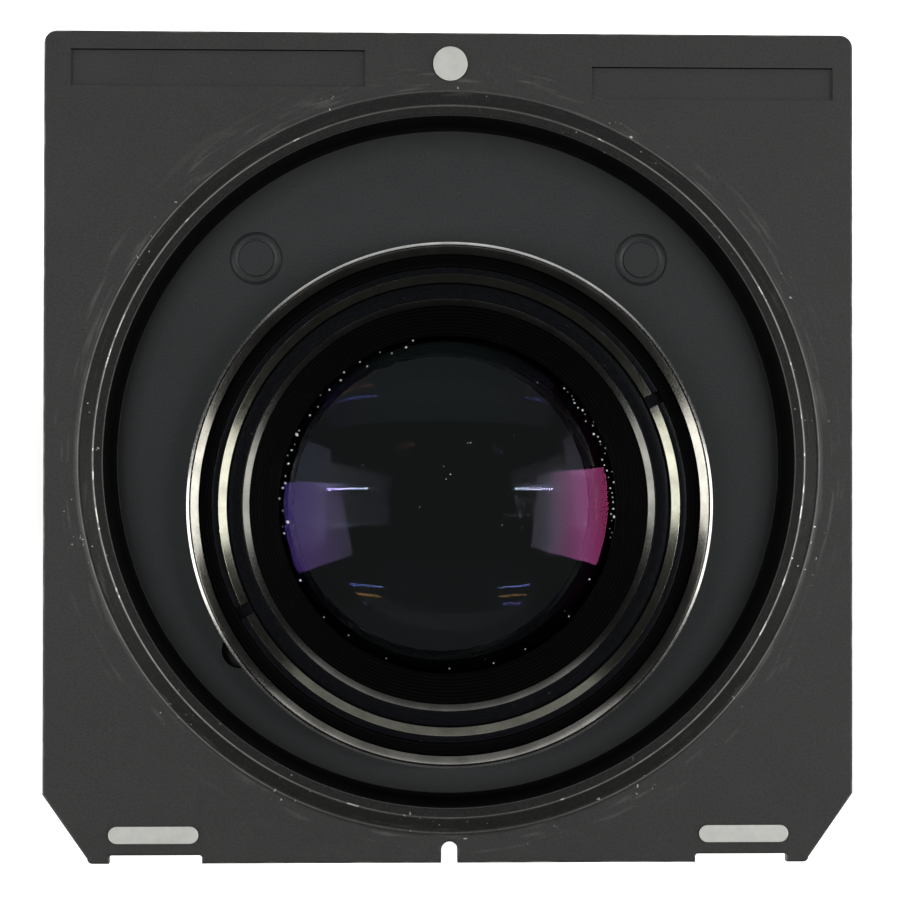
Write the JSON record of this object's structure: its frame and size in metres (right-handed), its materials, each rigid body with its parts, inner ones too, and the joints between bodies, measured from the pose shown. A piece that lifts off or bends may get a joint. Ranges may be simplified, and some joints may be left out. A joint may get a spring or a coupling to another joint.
{
  "type": "enlarger lens",
  "caption": "Enlarging lens with click-stopped aperture ring and working iris, held by a jam nut in a square die-cast lens board with a sunk round floor.",
  "frame": {"origin": "on the surface that the front rim stands on, under the middle of the lens board", "axes": "+Z along the optical axis from the front rim to the rear of the board, +Y from the notched lower edge of the board to its upper edge, +X to the right seen from behind"},
  "size_m": [0.08, 0.082, 0.0503],
  "materials": {
    "cast_paint": "satin black paint on a die casting",
    "black_anodised": "black anodised, turned, with worn bright edges",
    "matt_black": "matt black anti-reflection paint",
    "optical_glass": "polished, single coated, purple and magenta reflections",
    "blade_steel": "blackened",
    "bare_steel": "bare, slightly dull",
    "bare_aluminium": "bare milled aluminium",
    "white_fill": "white paint filled into engraved marks"
  },
  "bodies": {
    "lens_body": {"lens_board": "cast_paint", "jam_nut": "black_anodised", "barrel": "black_anodised", "rear_cell": "black_anodised", "rear_lock_ring": "black_anodised", "front_cell": "black_anodised", "name_ring": "black_anodised", "front_collar": "black_anodised", "rear_lens_ring": "matt_black", "front_lens_ring": "matt_black", "rear_spacer": "matt_black", "front_spacer": "matt_black", "iris_base_ring": "matt_black", "rear_inner_element": "optical_glass", "rear_middle_element": "optical_glass", "rear_outer_element": "optical_glass", "front_inner_element": "optical_glass", "front_middle_element": "optical_glass", "front_outer_element": "optical_glass", "collar_screw_1": "bare_steel", "collar_screw_2": "bare_steel", "collar_screw_3": "bare_steel", "click_spring": "bare_steel", "spring_rivet": "bare_steel"},
    "aperture_control": {"aperture_ring": "black_anodised", "drive_screw": "bare_steel", "iris_cam_ring": "matt_black"},
    "blade_1": {"iris_blade_1": "blade_steel"},
    "blade_2": {"iris_blade_2": "blade_steel"},
    "blade_3": {"iris_blade_3": "blade_steel"},
    "blade_4": {"iris_blade_4": "blade_steel"},
    "blade_5": {"iris_blade_5": "blade_steel"},
    "blade_6": {"iris_blade_6": "blade_steel"},
    "blade_7": {"iris_blade_7": "blade_steel"},
    "blade_8": {"iris_blade_8": "blade_steel"}
  },
  "joints": [
    {"name": "aperture_turn", "type": "hinge", "parent": "lens_body", "child": "aperture_control", "pos_m": [0, -0.0057, 0.022], "axis": [0, 0, 1], "range_deg": [-54, 0]},
    {"name": "blade_1_swing", "type": "hinge", "parent": "lens_body", "child": "blade_1", "pos_m": [0.0214, -0.0057, 0.02557], "axis": [0, 0, 1], "range_deg": [0, 31.3]},
    {"name": "blade_2_swing", "type": "hinge", "parent": "lens_body", "child": "blade_2", "pos_m": [0.01513, 0.00943, 0.02579], "axis": [0, 0, 1], "range_deg": [0, 31.3]},
    {"name": "blade_3_swing", "type": "hinge", "parent": "lens_body", "child": "blade_3", "pos_m": [0, 0.0157, 0.02601], "axis": [0, 0, 1], "range_deg": [0, 31.3]},
    {"name": "blade_4_swing", "type": "hinge", "parent": "lens_body", "child": "blade_4", "pos_m": [-0.01513, 0.00943, 0.02623], "axis": [0, 0, 1], "range_deg": [0, 31.3]},
    {"name": "blade_5_swing", "type": "hinge", "parent": "lens_body", "child": "blade_5", "pos_m": [-0.0214, -0.0057, 0.02645], "axis": [0, 0, 1], "range_deg": [0, 31.3]},
    {"name": "blade_6_swing", "type": "hinge", "parent": "lens_body", "child": "blade_6", "pos_m": [-0.01513, -0.02083, 0.02667], "axis": [0, 0, 1], "range_deg": [0, 31.3]},
    {"name": "blade_7_swing", "type": "hinge", "parent": "lens_body", "child": "blade_7", "pos_m": [0, -0.0271, 0.02689], "axis": [0, 0, 1], "range_deg": [0, 31.3]},
    {"name": "blade_8_swing", "type": "hinge", "parent": "lens_body", "child": "blade_8", "pos_m": [0.01513, -0.02083, 0.02711], "axis": [0, 0, 1], "range_deg": [0, 31.3]}
  ],
  "couplings": [
    {"joint": "blade_1_swing", "follows": "aperture_turn", "ratio": -0.57727},
    {"joint": "blade_2_swing", "follows": "aperture_turn", "ratio": -0.57727},
    {"joint": "blade_3_swing", "follows": "aperture_turn", "ratio": -0.57727},
    {"joint": "blade_4_swing", "follows": "aperture_turn", "ratio": -0.57727},
    {"joint": "blade_5_swing", "follows": "aperture_turn", "ratio": -0.57727},
    {"joint": "blade_6_swing", "follows": "aperture_turn", "ratio": -0.57727},
    {"joint": "blade_7_swing", "follows": "aperture_turn", "ratio": -0.57727},
    {"joint": "blade_8_swing", "follows": "aperture_turn", "ratio": -0.57727}
  ]
}
